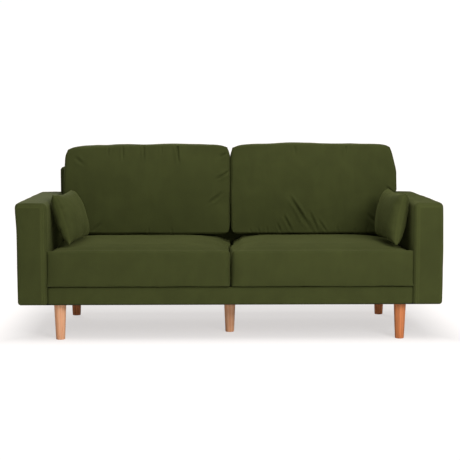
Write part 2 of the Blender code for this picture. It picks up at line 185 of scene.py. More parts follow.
class SofaStudio(bpy.types.PropertyGroup):
    """Light round the sofa."""

    ambient: bpy.props.FloatProperty(
        name="Ambient",
        description="Strength of the even light from all round",
        default=0.13,
        min=0.0,
    )
    overhead: bpy.props.FloatProperty(
        name="Overhead",
        description="Strength of the wide soft light above",
        default=79.0,
        unit="POWER",
        min=0.0,
    )
    key: bpy.props.FloatProperty(
        name="Key",
        description="Strength of the soft light in front of the right arm",
        default=124.0,
        unit="POWER",
        min=0.0,
    )
    low_fill: bpy.props.FloatProperty(
        name="Low fill",
        description="Strength of the wide soft light low in front, which reaches the legs",
        default=25.0,
        unit="POWER",
        min=0.0,
    )
    rear: bpy.props.FloatProperty(
        name="Rear",
        description="Strength of the weak soft light high behind the back",
        default=80.0,
        unit="POWER",
        min=0.0,
    )


# --- mesh helpers -----------------------------------------------------------------------------


def smoothstep(low, high, values):
    t = np.clip((np.asarray(values) - low) / (high - low), 0.0, 1.0)
    return t * t * (3 - 2 * t)


def read_points(mesh):
    points = np.empty(len(mesh.vertices) * 3)
    mesh.vertices.foreach_get("co", points)
    return points.reshape(-1, 3)


def read_normals(mesh):
    normals = np.empty(len(mesh.vertices) * 3)
    mesh.vertices.foreach_get("normal", normals)
    return normals.reshape(-1, 3)


def write_points(mesh, points):
    mesh.vertices.foreach_set("co", np.ascontiguousarray(points).ravel())
    mesh.update()


def only(piece):
    """Makes a piece the one that is selected and active."""
    bpy.ops.object.select_all(action="DESELECT")
    piece.select_set(True)
    bpy.context.view_layer.objects.active = piece


def settle(piece):
    """Puts a piece's place, turn and size into its mesh."""
    only(piece)
    bpy.ops.object.transform_apply(location=True, rotation=True, scale=True)


def bevel_selected(offset, segments):
    """Bevels what is selected on the active piece, and leaves edit mode."""
    bpy.ops.object.mode_set(mode="EDIT")
    bpy.ops.mesh.bevel(offset=offset, segments=segments, affect="EDGES")
    bpy.ops.object.mode_set(mode="OBJECT")


def small_block(name, place, size):
    """A block to shape further, selected all over."""
    bpy.ops.object.select_all(action="DESELECT")
    bpy.ops.mesh.primitive_cube_add(size=1.0, location=place)
    block = bpy.context.object
    block.name = block.data.name = name
    block.scale = size
    settle(block)
    bpy.ops.object.mode_set(mode="EDIT")
    bpy.ops.mesh.select_all(action="SELECT")
    bpy.ops.object.mode_set(mode="OBJECT")
    return block


def repeat(piece, count, step):
    """Copies a shape along a row, within its own mesh."""
    row = piece.modifiers.new("row", "ARRAY")
    row.count = count
    row.use_relative_offset = False
    row.use_constant_offset = True
    row.constant_offset_displace = step
    apply_modifiers(piece)


def mirror_across_middle(piece, points):
    """Turns a right-hand piece into a left-hand one."""
    write_points(piece.data, points * (-1, 1, 1))
    piece.data.flip_normals()


def apply_modifiers(piece):
    only(piece)
    for modifier in list(piece.modifiers):
        bpy.ops.object.modifier_apply(modifier=modifier.name)


def subdivide_smooth(piece):
    soft = piece.modifiers.new("soft", "SUBSURF")
    soft.levels = soft.render_levels = 1
    apply_modifiers(piece)


def lay_lines(low, high, spacing, *stops):
    """Grid lines from low to high, about spacing apart, that pass through the stops."""
    ends = sorted({low, high, *[stop for stop in stops if low < stop < high]})
    lines = [low]
    for start, end in zip(ends, ends[1:]):
        count = max(1, round((end - start) / spacing))
        lines += list(np.linspace(start, end, count + 1)[1:])
    return lines


def rounding_stops(low, high, radius):
    """Extra grid lines where a block's edges are rounded."""
    parts = (0.3, 0.65, 1.0)
    return [low + radius * part for part in parts] + [high - radius * part for part in parts]


def seam_stops(*seams):
    """Grid lines on both sides of each seam and along it."""
    return [seam + side for seam in seams for side in (-SEAM_HALF_WIDTH, 0, SEAM_HALF_WIDTH)]


def block_shell(name, xs, ys, zs):
    """A closed shell of quads over a block, with those grid lines."""
    points, faces, places = [], [], {}

    def corner(i, j, k):
        if (i, j, k) not in places:
            places[i, j, k] = len(points)
            points.append((xs[i], ys[j], zs[k]))
        return places[i, j, k]

    x_end, y_end, z_end = len(xs) - 1, len(ys) - 1, len(zs) - 1
    for i in range(x_end):
        for j in range(y_end):
            ring = [(i, j), (i + 1, j), (i + 1, j + 1), (i, j + 1)]
            faces.append([corner(a, b, z_end) for a, b in ring])
            faces.append([corner(a, b, 0) for a, b in reversed(ring)])
        for k in range(z_end):
            ring = [(i, k), (i + 1, k), (i + 1, k + 1), (i, k + 1)]
            faces.append([corner(a, 0, b) for a, b in ring])
            faces.append([corner(a, y_end, b) for a, b in reversed(ring)])
    for j in range(y_end):
        for k in range(z_end):
            ring = [(j, k), (j + 1, k), (j + 1, k + 1), (j, k + 1)]
            faces.append([corner(x_end, a, b) for a, b in ring])
            faces.append([corner(0, a, b) for a, b in reversed(ring)])
    mesh = bpy.data.meshes.new(name)
    mesh.from_pydata(points, [], faces)
    piece = bpy.data.objects.new(name, mesh)
    bpy.context.scene.collection.objects.link(piece)
    return piece


def shares(flat, low, high):
    """Each point's place in a block, from -1 to 1 along each axis."""
    return (flat - (low + high) / 2) / ((high - low) / 2)


def rounded(points, low, high, radii):
    """Points of a block, with those within a radius of an edge drawn onto the rounded edge."""
    radii = np.maximum(radii, 1e-9)
    out = points - np.clip(points, low + radii, high - radii)
    share = out / radii
    length = np.linalg.norm(share, axis=1)
    biggest = np.abs(share).max(axis=1)
    scale = np.where(length > 1e-9, biggest / np.maximum(length, 1e-9), 1.0)
    return points - out + out * scale[:, None]


def bulge(share):
    """From 1 in the middle of a panel to 0 at its edges, for a share from -1 to 1."""
    return np.clip(1 - np.abs(share) ** 3, 0, 1) ** 1.2


def waviness(points, scale, depth, seed):
    """A slow unevenness of a stuffed surface, in metres."""
    shift = Vector((seed * 7.3, seed * 3.1, seed * 5.7))
    return depth * np.array([noise.noise(Vector(p) * scale + shift) for p in points])


def groove(distance, depth, width):
    """How far a seam draws the cover in, by the distance from it, with a low swell each side."""
    near = np.exp(-((distance / width) ** 2))
    beside = np.exp(-(((np.abs(distance) - 2.3 * width) / (1.3 * width)) ** 2))
    return depth * (near - 0.22 * beside)


def fold(across, up, start, end, width, depth, from_seam=False):
    """How far a crease from start to end draws a panel in, at points across and up the panel."""
    start, end = np.array(start), np.array(end)
    line = end - start
    length = np.hypot(*line)
    along = ((across - start[0]) * line[0] + (up - start[1]) * line[1]) / length**2
    side = ((across - start[0]) * line[1] - (up - start[1]) * line[0]) / length
    fade_in = smoothstep(-0.06, 0.0, along) if from_seam else smoothstep(-0.1, 0.35, along)
    reach = fade_in * smoothstep(1.1, 0.45, along)
    width = 0.85 * width
    valley = np.exp(-((side / width) ** 2))
    ridges = np.exp(-(((np.abs(side) - 1.9 * width) / (1.1 * width)) ** 2))
    return 1.3 * depth * reach * (valley - 0.45 * ridges)


def swell(pieces, pinned):
    """Lets the pieces' covers swell together as cloth, no farther than the cap."""
    shape = bpy.context.scene.sofa_shape
    starts = [read_points(piece.data) for piece in pieces]
    for piece, pins in zip(pieces, pinned):
        cloth = piece.modifiers.new("filling", "CLOTH")
        settings = cloth.settings
        settings.quality = 5
        settings.mass = 0.3
        settings.tension_stiffness = 12.0
        settings.compression_stiffness = 12.0
        settings.shear_stiffness = 6.0
        settings.bending_stiffness = 0.6
        settings.use_pressure = True
        settings.uniform_pressure_force = shape.cloth_pressure
        settings.effector_weights.gravity = 0.0
        cloth.collision_settings.use_collision = False
        cloth.point_cache.frame_start = 1
        cloth.point_cache.frame_end = shape.cloth_frames
        group = piece.vertex_groups.new(name="pinned")
        group.add([int(i) for i in pins], 1.0, "REPLACE")
        settings.vertex_group_mass = "pinned"
    scene = bpy.context.scene
    for number in range(1, shape.cloth_frames + 1):
        scene.frame_set(number)
    for piece, pins, start in zip(pieces, pinned, starts):
        apply_modifiers(piece)
        piece.vertex_groups.clear()
        moved = read_points(piece.data) - start
        far = np.linalg.norm(moved, axis=1)
        limit = shape.swell_cap * np.tanh(far / shape.swell_cap)
        write_points(piece.data, start + moved * (limit / np.maximum(far, 1e-9))[:, None])
    scene.frame_set(1)


def sew(piece, seam, depth):
    """Presses a sewn line into a shell along the edges that join the seam's points."""
    seam = np.append(seam, np.zeros(len(piece.data.vertices) - len(seam), bool))
    shape = bmesh.new()
    shape.from_mesh(piece.data)
    # The seam layer marks the sewn line, where the velvet paints shade and, beside it, a highlight.
    drawn = shape.verts.layers.float.new("seam")
    shape.verts.ensure_lookup_table()
    edges = [edge for edge in shape.edges if all(seam[vert.index] for vert in edge.verts)]
    made = bmesh.ops.bevel(
        shape,
        geom=edges,
        offset=SEAM_HALF_WIDTH,
        offset_type="OFFSET",
        segments=2,
        profile=0.5,
        affect="EDGES",
    )
    strip = set(made["faces"])
    shape.normal_update()
    lines = [vert for vert in made["verts"] if all(face in strip for face in vert.link_faces)]
    inward = [(vert, vert.normal.copy()) for vert in lines]
    for vert, normal in inward:
        vert.co -= normal * depth
        vert[drawn] = 1.0
    shape.to_mesh(piece.data)
    shape.free()


def mark_seam(piece, amount):
    """Stores how near each point is to a seam, for the velvet to read: from it the velvet paints
    shade into the seam and a highlight beside it.
    """
    attribute = piece.data.attributes.new("seam", "FLOAT", "POINT")
    attribute.data.foreach_set("value", np.clip(amount, 0, 1).astype(np.float32))


def dress(piece, body, material):
    """Finishes a piece: smooth shading, its material and the body it moves with."""
    piece.data.materials.clear()
    piece.data.materials.append(material)
    only(piece)
    bpy.ops.object.shade_smooth()
    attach(piece, body)


def upholster(piece, body, fill, *nodes):
    """Finishes a padded piece in velvet and lets it stand for those CAD nodes."""
    dress(piece, body, finish_for("velvet"))
    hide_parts(*nodes)


def seat_trees():
    """Both seat cushions' finished surfaces, to rest other cushions on."""
    trees = []
    for name in SIDES:
        mesh = bpy.data.objects[f"{name}_seat_cushion_velvet"].data
        corners = [vertex.co for vertex in mesh.vertices]
        trees.append(BVHTree.FromPolygons(corners, [face.vertices for face in mesh.polygons]))
    return trees


def rest_on_seats(points, trees, reach):
    """Lifts the points near the seats, up to reach above the CAD seat, clear of their tops."""
    for i in np.flatnonzero(points[:, 2] < SEAT_HIGH.z + reach):
        for tree in trees:
            above = Vector((points[i, 0], points[i, 1], 0.9))
            hit = tree.ray_cast(above, Vector((0, 0, -1)))[0]
            if hit is not None:
                points[i, 2] = max(points[i, 2], hit.z + NEIGHBOUR_GAP)
                break


# --- materials --------------------------------------------------------------------------------


class Socket:
    """An output that Python arithmetic acts on by adding Math nodes."""

    def __init__(self, graph, output):
        self.graph, self.output = graph, output

    def maths(self, operation, *values):
        inputs = {i: value for i, value in enumerate(values)}
        return self.graph.node("ShaderNodeMath", {"operation": operation}, inputs)

    def __add__(self, other):
        return self.maths("ADD", self, other)

    def __radd__(self, other):
        return self.maths("ADD", other, self)

    def __sub__(self, other):
        return self.maths("SUBTRACT", self, other)

    def __rsub__(self, other):
        return self.maths("SUBTRACT", other, self)

    def __mul__(self, other):
        return self.maths("MULTIPLY", self, other)

    def __rmul__(self, other):
        return self.maths("MULTIPLY", other, self)

    def __pow__(self, other):
        return self.maths("POWER", self, other)

    def within(self, low, high):
        """0 below low, 1 above high, and smooth between them."""
        settings = {"interpolation_type": "SMOOTHSTEP"}
        return self.graph.node(
            "ShaderNodeMapRange", settings, {"Value": self, "From Min": low, "From Max": high}
        )


class Finish:
    """A material's nodes, about one Principled surface."""

    def __init__(self, name, **constants):
        self.material = bpy.data.materials.new(name)
        self.material.use_nodes = True
        self.tree = self.material.node_tree
        self.surface = self.tree.nodes["Principled BSDF"]
        for socket, value in constants.items():
            self.surface.inputs[socket.replace("_", " ")].default_value = value

    def node(self, kind, settings=None, inputs=None, output=0):
        """A node of that kind, with its settings, then its inputs, as a Socket of one output."""
        made = self.tree.nodes.new(kind)
        for name, value in (settings or {}).items():
            setattr(made, name, value)
        for name, value in (inputs or {}).items():
            self.feed(made.inputs[name], value)
        return Socket(self, made.outputs[output])

    def feed(self, socket, value):
        if isinstance(value, Socket):
            self.tree.links.new(value.output, socket)
        else:
            socket.default_value = value

    def place(self):
        return self.node("ShaderNodeTexCoord", output="Object")

    def stretched(self, x, y, z):
        """The piece's own coordinates, scaled."""
        return self.node("ShaderNodeMapping", {}, {"Vector": self.place(), "Scale": (x, y, z)})

    def clouds(self, scale, detail=2.0, roughness=0.5, vector=None, distortion=0.0):
        """Soft noise from 0 to 1."""
        inputs = {
            "Vector": vector or self.place(),
            "Scale": scale,
            "Detail": detail,
            "Roughness": roughness,
            "Distortion": distortion,
        }
        return self.node("ShaderNodeTexNoise", {}, inputs, "Fac")

    def cells(self, scale, **more):
        """Distance from the middle of the nearest cell."""
        inputs = {"Vector": self.place(), "Scale": scale, **more}
        return self.node("ShaderNodeTexVoronoi", {}, inputs, "Distance")

    def bands(self, vector, scale, distortion, detail, **more):
        """Slanting bands from 0 to 1."""
        settings = {"wave_type": "BANDS", "bands_direction": "DIAGONAL"}
        inputs = {"Vector": vector, "Scale": scale, "Distortion": distortion, "Detail": detail}
        return self.node("ShaderNodeTexWave", settings, {**inputs, **more}, "Fac")

    def blend(self, factor, first, second):
        """One colour over another."""
        settings = {"data_type": "RGBA", "blend_type": "MIX", "clamp_factor": True}
        inputs = {0: factor, 6: first, 7: second}
        return self.node("ShaderNodeMix", settings, inputs, 2)

    def relief(self, height, distance, strength):
        inputs = {"Height": height, "Distance": distance, "Strength": strength}
        return self.node("ShaderNodeBump", {}, inputs)

    def done(self, **links):
        for socket, value in links.items():
            self.feed(self.surface.inputs[socket.replace("_", " ")], value)
        return self.material


def opaque(colour, factor=1.0):
    return (*[min(1.0, part * factor) for part in colour], 1.0)


def velvet_finish():
    """Short cotton pile: brushed patches, fine nap, painted shade in the seams, and rubbed nap with
    a painted highlight beside them.
    """
    look = bpy.context.scene.sofa_finish
    finish = Finish(
        "olive_velvet",
        Specular_IOR_Level=0.12,
        Sheen_Weight=look.velvet_sheen,
        Sheen_Roughness=0.40,
        Sheen_Tint=(0.55, 0.60, 0.20, 1.0),
    )
    base = look.velvet
    brushed = finish.clouds(7.0, 3.0, 0.55, distortion=0.6)
    streaks = finish.clouds(9.0, 2.0, 0.5, finish.stretched(3.2, 3.2, 0.9))
    fleck = finish.clouds(420.0, 2.0, 0.6)
    pile = finish.clouds(1500.0, 1.0, 0.5)
    seam = finish.node("ShaderNodeAttribute", {"attribute_name": "seam"}, output="Fac")
    nap = brushed * 0.55 + streaks * 0.25 + fleck * 0.2
    colour = finish.blend(nap.within(0.30, 0.72), opaque(base, 0.90), opaque(base, 1.10))
    # Rubbed nap with a painted highlight on the swell beside each seam, lighter than the velvet.
    rubbed_and_highlit = seam.within(0.02, 0.22) * (1.0 - seam.within(0.3, 0.8))
    colour = finish.blend(rubbed_and_highlit * 0.30, colour, opaque(base, 1.7))
    # Painted shade in the seams, darker than the velvet.
    colour = finish.blend(seam.within(0.45, 1.0) * 0.45, colour, opaque(base, 0.35))
    height = pile * 0.5 + fleck * 0.5
    return finish.done(
        Base_Color=colour,
        Roughness=0.96 - fleck * 0.12,
        Normal=finish.relief(height, 0.0006, 0.7),
    )


def wood_finish(name, pale, dark, along, coat, roughness=0.42, knots=False):
    """Planed or turned wood with its grain along one axis."""
    finish = Finish(name, Coat_Roughness=0.25, Specular_IOR_Level=0.25)
    warped = finish.stretched(*[2.2 if axis == along else 38.0 for axis in "xyz"])
    broad = finish.clouds(1.0, 3.0, 0.55, warped, 1.2)
    bands = finish.bands(warped, 1.1, 5.0, 2.0, **{"Detail Scale": 1.4})
    pore_scales = [45.0 if axis == along else 900.0 for axis in "xyz"]
    pores = finish.clouds(1.0, 1.0, 0.5, finish.stretched(*pore_scales))
    grain = broad * 0.5 + bands * 0.5
    colour = finish.blend(grain.within(0.2, 0.85), opaque(pale), opaque(dark))
    colour = finish.blend(pores.within(0.60, 0.78) * 0.4, colour, opaque(dark, 0.6))
    if knots:
        spots = 1.0 - finish.cells(5.0).within(0.03, 0.09)
        colour = finish.blend(spots * 0.8, colour, opaque(dark, 0.3))
    return finish.done(
        Base_Color=colour,
        Roughness=roughness + pores * 0.12,
        Coat_Weight=coat * (0.9 + 0.1 * broad),
        Normal=finish.relief(pores * 0.5 + grain * 0.2, 0.0004, 0.35),
    )


def steel_finish():
    """Zinc-plated wire: drawn scratches and a dull patch here and there."""
    finish = Finish("plated_steel", Metallic=1.0)
    drawn = finish.clouds(260.0, 3.0, 0.6)
    dull = finish.clouds(30.0, 2.0, 0.5)
    colour = finish.blend(dull.within(0.4, 0.7), (0.60, 0.61, 0.63, 1), (0.44, 0.44, 0.45, 1))
    return finish.done(
        Base_Color=colour,
        Roughness=0.26 + 0.22 * drawn,
        Normal=finish.relief(drawn, 0.0002, 0.3),
    )


def foam_finish():
    """Open-cell foam, faintly yellowed."""
    finish = Finish("cushion_foam", Specular_IOR_Level=0.2)
    cells = finish.cells(420.0)
    stain = finish.clouds(5.0, 3.0)
    colour = finish.blend(stain.within(0.35, 0.7), (0.80, 0.75, 0.56, 1), (0.73, 0.64, 0.42, 1))
    colour = finish.blend(cells.within(0.25, 0.6) * 0.5, colour, (0.5, 0.42, 0.26, 1))
    return finish.done(
        Base_Color=colour, Roughness=0.9 + cells * 0.08, Normal=finish.relief(cells, 0.0012, 0.7)
    )


def fibre_finish():
    """Matted white polyester fibre."""
    finish = Finish("white_fibre", Sheen_Weight=0.3, Sheen_Roughness=0.5)
    tangle = finish.clouds(90.0, 5.0, 0.75, distortion=2.0)
    lumps = finish.clouds(14.0, 2.0)
    colour = finish.blend(tangle.within(0.35, 0.7), (0.70, 0.70, 0.68, 1), (0.88, 0.88, 0.87, 1))
    return finish.done(
        Base_Color=colour,
        Roughness=0.88 + tangle * 0.1,
        Normal=finish.relief(tangle * 0.5 + lumps, 0.003, 0.7),
    )


def lining_finish():
    """Black spun-bonded lining with its pressed dots."""
    finish = Finish("black_lining", Specular_IOR_Level=0.25)
    dots = finish.cells(380.0, Randomness=0.25)
    threads = finish.clouds(260.0, 4.0, 0.7)
    dust = finish.clouds(6.0, 4.0, 0.6)
    black, grey = (0.010, 0.010, 0.011, 1), (0.028, 0.028, 0.03, 1)
    colour = finish.blend(threads.within(0.3, 0.7), black, grey)
    colour = finish.blend(dust.within(0.5, 0.8) * 0.25, colour, (0.09, 0.085, 0.08, 1))
    return finish.done(
        Base_Color=colour,
        Roughness=0.72 + threads * 0.2,
        Normal=finish.relief(dots.within(0.0, 0.5), 0.0005, 0.6),
    )


def tape_finish():
    """Olive polyester zip tape in a close twill."""
    finish = Finish("zip_tape", Specular_IOR_Level=0.3)
    twill = finish.bands(finish.place(), 420.0, 0.6, 1.0)
    colour = finish.blend(twill * 0.6, (0.050, 0.056, 0.020, 1), (0.080, 0.090, 0.036, 1))
    return finish.done(
        Base_Color=colour, Roughness=0.7 + twill * 0.15, Normal=finish.relief(twill, 0.0003, 0.6)
    )


def timber_finish(along):
    """Planed pine with its grain along one axis."""
    pale, dark = (0.62, 0.44, 0.24), (0.45, 0.27, 0.12)
    return wood_finish(f"planed_pine_{along}", pale, dark, along, 0.0, 0.62, True)


def leg_finish():
    """Lacquered hardwood, upright."""
    pale = tuple(bpy.context.scene.sofa_finish.leg_wood)
    return wood_finish("lacquered_hardwood", pale, [part * 0.72 for part in pale], "z", 0.12)


def pale_leg_finish():
    """A lighter copy of the same wood; on the front centre leg it is painted light that makes up
    for the shade under the seat.
    """
    pale, dark = (1.0, 0.54, 0.31), (0.93, 0.42, 0.21)
    return wood_finish("lacquered_hardwood_pale", pale, dark, "z", 0.12)


MAKERS = {
    "velvet": velvet_finish,
    "leg": leg_finish,
    "pale_leg": pale_leg_finish,
    "timber_x": lambda: timber_finish("x"),
    "timber_y": lambda: timber_finish("y"),
    "timber_z": lambda: timber_finish("z"),
    "steel": steel_finish,
    "foam": foam_finish,
    "fibre": fibre_finish,
    "lining": lining_finish,
    "tape": tape_finish,
}
FINISHES = {}


def finish_for(name):
    """A finish by name, made the first time that it is asked for."""
    if name not in FINISHES:
        FINISHES[name] = MAKERS[name]()
    return FINISHES[name]


# --- pieces -----------------------------------------------------------------------------------


def outline_distance(flat, xs, zs):
    """Distance from a panel's sewn outline, whose sides are at xs and whose ends are at zs."""
    x, z = flat[:, 0], flat[:, 2]
    inside_x = (x > xs[0] - NEAR_SEAM) & (x < xs[1] + NEAR_SEAM)
    inside_z = (z > zs[0] - NEAR_SEAM) & (z < zs[1] + NEAR_SEAM)
    to_x = np.minimum(np.abs(x - xs[0]), np.abs(x - xs[1]))
    to_z = np.minimum(np.abs(z - zs[0]), np.abs(z - zs[1]))
    return np.minimum(np.where(inside_z, to_x, 1.0), np.where(inside_x, to_z, 1.0))


def arm_shell(name, sign):
    """A padded box arm with rounded edges and a sewn facing panel in front."""
    shape = bpy.context.scene.sofa_shape
    low, high = np.array(ARM_LOW), np.array(ARM_HIGH)
    edge = shape.arm_edge
    seams_x = (low[0] + 0.020, high[0] - 0.008)
    seam_top = high[2] - 0.013
    stops_x = rounding_stops(low[0], high[0], edge) + seam_stops(*seams_x)
    stops_y = rounding_stops(low[1], high[1], edge)
    stops_y += [BACK_FRONT_Y - 0.0012, BACK_FRONT_Y - 0.0004]
    stops_z = rounding_stops(low[2], high[2], edge) + seam_stops(seam_top)
    xs = lay_lines(low[0], high[0], 0.011, *stops_x)
    ys = lay_lines(low[1], high[1], 0.0125, *stops_y)
    zs = lay_lines(low[2], high[2], 0.0125, *stops_z)
    arm = block_shell(f"{name}_arm_upholstery", xs, ys, zs)
    flat = read_points(arm.data)
    radii = np.full_like(flat, edge)
    radii[flat[:, 2] < low[2] + 0.15] = (edge, edge, 0.003)
    radii[flat[:, 0] > 0.93] *= (0.75, 1, 1)
    radii[:, 1] = np.where(flat[:, 1] > 0, 0.012, ARM_FRONT_RADIUS)
    beside_back = (flat[:, 1] > BACK_FRONT_Y - 0.0008) & (flat[:, 0] < 0.93)
    radii[beside_back] = np.minimum(radii[beside_back], 0.004)
    points = rounded(flat, low, high, radii)
    across, _, up = shares(flat, low, high).T
    along = flat[:, 1] / high[1]
    on_top = flat[:, 2] > high[2] - NEAR_END
    in_front = flat[:, 1] < low[1] + NEAR_END
    outside = flat[:, 0] > high[0] - NEAR_END
    uneven = waviness(flat * (sign, 1, 1), 9.0, 0.0016, 3 + sign)
    points[:, 2] += on_top * shape.arm_crown * bulge(across) * bulge(along * 0.98)
    fullness, fuller_above = (0.004, 0.007) if sign < 0 else (0.0, -0.003)
    points[:, 0] += outside * (fullness * bulge(up) * bulge(along) + uneven)
    points[:, 1] -= in_front * (0.004 * bulge(across) * bulge(up) + uneven * 0.6)
    points[:, 2] += on_top * uneven
    upper = smoothstep(0.50, 0.64, flat[:, 2])
    points[:, 0] += fuller_above * upper * smoothstep(0.90, 0.99, flat[:, 0])
    distance = outline_distance(flat, seams_x, (-1.0, seam_top))
    points[:, 1] += in_front * groove(distance, 0.0014, 0.0030)
    behind = flat[:, 1] > BACK_FRONT_Y - 0.0008
    room = ARM_NOTCH_X + (points[:, 0] - low[0]) * (high[0] - ARM_NOTCH_X) / (high[0] - low[0])
    points[:, 0] = np.where(behind, room, points[:, 0])
    write_points(arm.data, points)
    # Seam marks at 0.6 strength, for the velvet's painted shade in the front seam and painted
    # highlight beside it.
    mark_seam(arm, 0.6 * in_front * np.exp(-((distance / SEAM_FADE) ** 2)))
    if sign < 0:
        mirror_across_middle(arm, points)
    subdivide_smooth(arm)
    upholster(arm, "frame", 0.95, f"{name}_arm_cover", f"{name}_arm_padding")


def back_shell():
    """The upholstered back between the arms, with a sewn rear panel."""
    shape = bpy.context.scene.sofa_shape
    low, high = np.array(BACK_LOW), np.array(BACK_HIGH)
    low[1] += 0.0004
    seam_x = high[0] - 0.012
    seams_z = (low[2] + 0.012, high[2] - 0.012)
    stops = [rounding_stops(start, end, BACK_RADIUS) for start, end in zip(low, high)]
    xs = lay_lines(low[0], high[0], 0.016, *stops[0], *seam_stops(-seam_x, seam_x))
    ys = lay_lines(low[1], high[1], 0.014, *stops[1])
    zs = lay_lines(low[2], high[2], 0.016, *stops[2], *seam_stops(*seams_z))
    back = block_shell("back_upholstery", xs, ys, zs)
    flat = read_points(back.data)
    points = rounded(flat, low, high, np.full_like(flat, BACK_RADIUS))
    across, through, up = shares(flat, low, high).T
    behind = flat[:, 1] > high[1] - NEAR_END
    on_top = flat[:, 2] > high[2] - NEAR_END
    uneven = waviness(flat, 5.0, 0.0022, 11)
    points[:, 1] += behind * (0.003 * bulge(across) * bulge(up) + uneven * 0.7)
    points[:, 2] += on_top * (0.003 * bulge(through) + uneven * 0.4)
    distance = outline_distance(flat, (-seam_x, seam_x), seams_z)
    points[:, 1] -= behind * groove(distance, shape.seam_depth, 0.0032)
    write_points(back.data, points)
    # Seam marks for the velvet's painted shade in the rear seams and painted highlight beside them.
    mark_seam(back, behind * np.exp(-((distance / SEAM_FADE) ** 2)))
    subdivide_smooth(back)
    upholster(back, "frame", 0.95, "back_cover", "back_padding")


def apron_shell():
    """The padded strip under the seat cushions."""
    low, high = np.array(APRON_LOW), np.array(APRON_HIGH)
    xs = lay_lines(low[0], high[0], 0.018)
    ys = lay_lines(low[1], high[1], 0.010, *rounding_stops(low[1], high[1], APRON_RADIUS))
    zs = lay_lines(low[2], high[2], 0.012, *rounding_stops(low[2], high[2], APRON_RADIUS))
    apron = block_shell("apron_upholstery", xs, ys, zs)
    flat = read_points(apron.data)
    radii = np.tile((0.0005, APRON_RADIUS, APRON_RADIUS), (len(flat), 1))
    points = rounded(flat, low, high, radii)
    in_front = flat[:, 1] < low[1] + NEAR_END
    up = shares(flat, low, high)[:, 2]
    points[:, 1] -= in_front * (0.0025 * bulge(up) + waviness(flat, 8.0, 0.0015, 21))
    write_points(apron.data, points)
    subdivide_smooth(apron)
    upholster(apron, "frame", 0.9, "front_apron")


def arm_limit(y):
    """How far out a seat cushion's side may reach before it meets the arm's rounded edge."""
    into = np.clip((ARM_LOW.y + ARM_FRONT_RADIUS - y) / ARM_FRONT_RADIUS, 0, 1)
    edge = bpy.context.scene.sofa_shape.arm_edge
    return ARM_LOW.x - NEIGHBOUR_GAP + edge * (1 - np.sqrt(1 - into**2))


def seat_shell(name, sign):
    """A seat cushion before it swells. Returns it, its two seams and its bottom."""
    grid = bpy.context.scene.sofa_shape.cloth_grid
    low = np.array([SEAT_LOW.x + 0.002, SEAT_LOW.y - 0.003, SEAT_LOW.z + 0.0028])
    high = np.array([SEAT_HIGH.x - 0.002, SEAT_HIGH.y - 0.001, SEAT_SEAM_HEIGHT])
    stops = rounding_stops(0, high[0] - low[0], 0.032)
    xs = lay_lines(low[0], high[0], grid, *[low[0] + stop for stop in stops])
    ys = lay_lines(low[1], high[1], grid, *rounding_stops(low[1], high[1], 0.032))
    zs = lay_lines(low[2], high[2], grid)
    cushion = block_shell(f"{name}_seat_cushion_velvet", xs, ys, zs)
    flat = read_points(cushion.data)
    radii = np.tile((0.028, 0.028, 0.0), (len(flat), 1))
    radii[flat[:, 1] < 0] = (0.034, 0.026, 0.0)
    points = rounded(flat, low, high, radii)
    on_rim = ((flat[:, :2] - low[:2] < NEAR_END) | (high[:2] - flat[:, :2] < NEAR_END)).any(axis=1)
    top = flat[:, 2] > high[2] - NEAR_END
    bottom = flat[:, 2] < low[2] + NEAR_END
    across, along, _ = shares(flat, low, high).T
    points[:, 2] += top * 0.016 * (1 - across**4) * (1 - along**4)
    front_corner = smoothstep(0.80, 1.0, across) * smoothstep(-0.365, -0.425, flat[:, 1])
    points[:, 0] += 0.011 * front_corner
    write_points(cushion.data, points)
    if sign < 0:
        mirror_across_middle(cushion, points)
    return cushion, top & on_rim, bottom & on_rim, bottom


def dome_seat(points, normals):
    """Lets a swollen seat's top fall away over a hand's width towards its sides."""
    to_middle = np.abs(points[:, 0]) - SEAT_LOW.x
    to_arm = SEAT_HIGH.x - np.abs(points[:, 0])
    front = points[:, 1] - SEAT_LOW.y
    inner = 0.10 + 0.90 * smoothstep(-0.03, 0.15, np.minimum(to_middle, to_arm))
    share = inner * (0.35 + 0.65 * smoothstep(0, 0.07, front))
    rise = np.maximum(points[:, 2] - SEAT_SEAM_HEIGHT, 0)
    points[:, 2] -= np.where(normals[:, 2] > 0.3, rise * (1 - share), 0)
    fallen = 0.024 * smoothstep(0.075, 0, to_middle) + 0.012 * smoothstep(0.06, 0, to_arm)
    upper = smoothstep(0.33, 0.43, points[:, 2])
    points[:, 2] -= fallen * upper * smoothstep(0.004, 0.09, front)


def keep_seat_in_place(points, sign):
    """Holds a seat cushion's points between its neighbours and under the back cushion."""
    x = sign * points[:, 0]
    shift = sign * MIDDLE_X * smoothstep(0.0, 0.08, points[:, 1])
    x = np.maximum(x, SEAT_LOW.x + NEIGHBOUR_GAP / 2)
    x += shift * smoothstep(0.10, 0.0, x)
    x = np.maximum(x, SEAT_LOW.x + NEIGHBOUR_GAP / 2 + shift)
    in_front = points[:, 1] < ARM_LOW.y - 0.004
    spread = ARM_LOW.x + SEAT_FRONT_ROOM
    limit = np.minimum(np.where(in_front, spread, arm_limit(points[:, 1])), spread)
    points[:, 0] = sign * np.minimum(x, limit)
    points[:, 1] = np.clip(points[:, 1], SEAT_LOW.y - 0.010, SEAT_HIGH.y)
    ease = 0.004  # height over which a point is slowed below the ceiling
    ceiling = 0.4535 - 0.0085 * smoothstep(0.10, 0.22, points[:, 1])
    over = np.maximum(points[:, 2] - ceiling + ease, 0)
    points[:, 2] -= np.where(over > 0, over - ease * np.tanh(over / ease), 0)
    points[:, 2] = np.maximum(points[:, 2], SEAT_LOW.z + 0.0003)


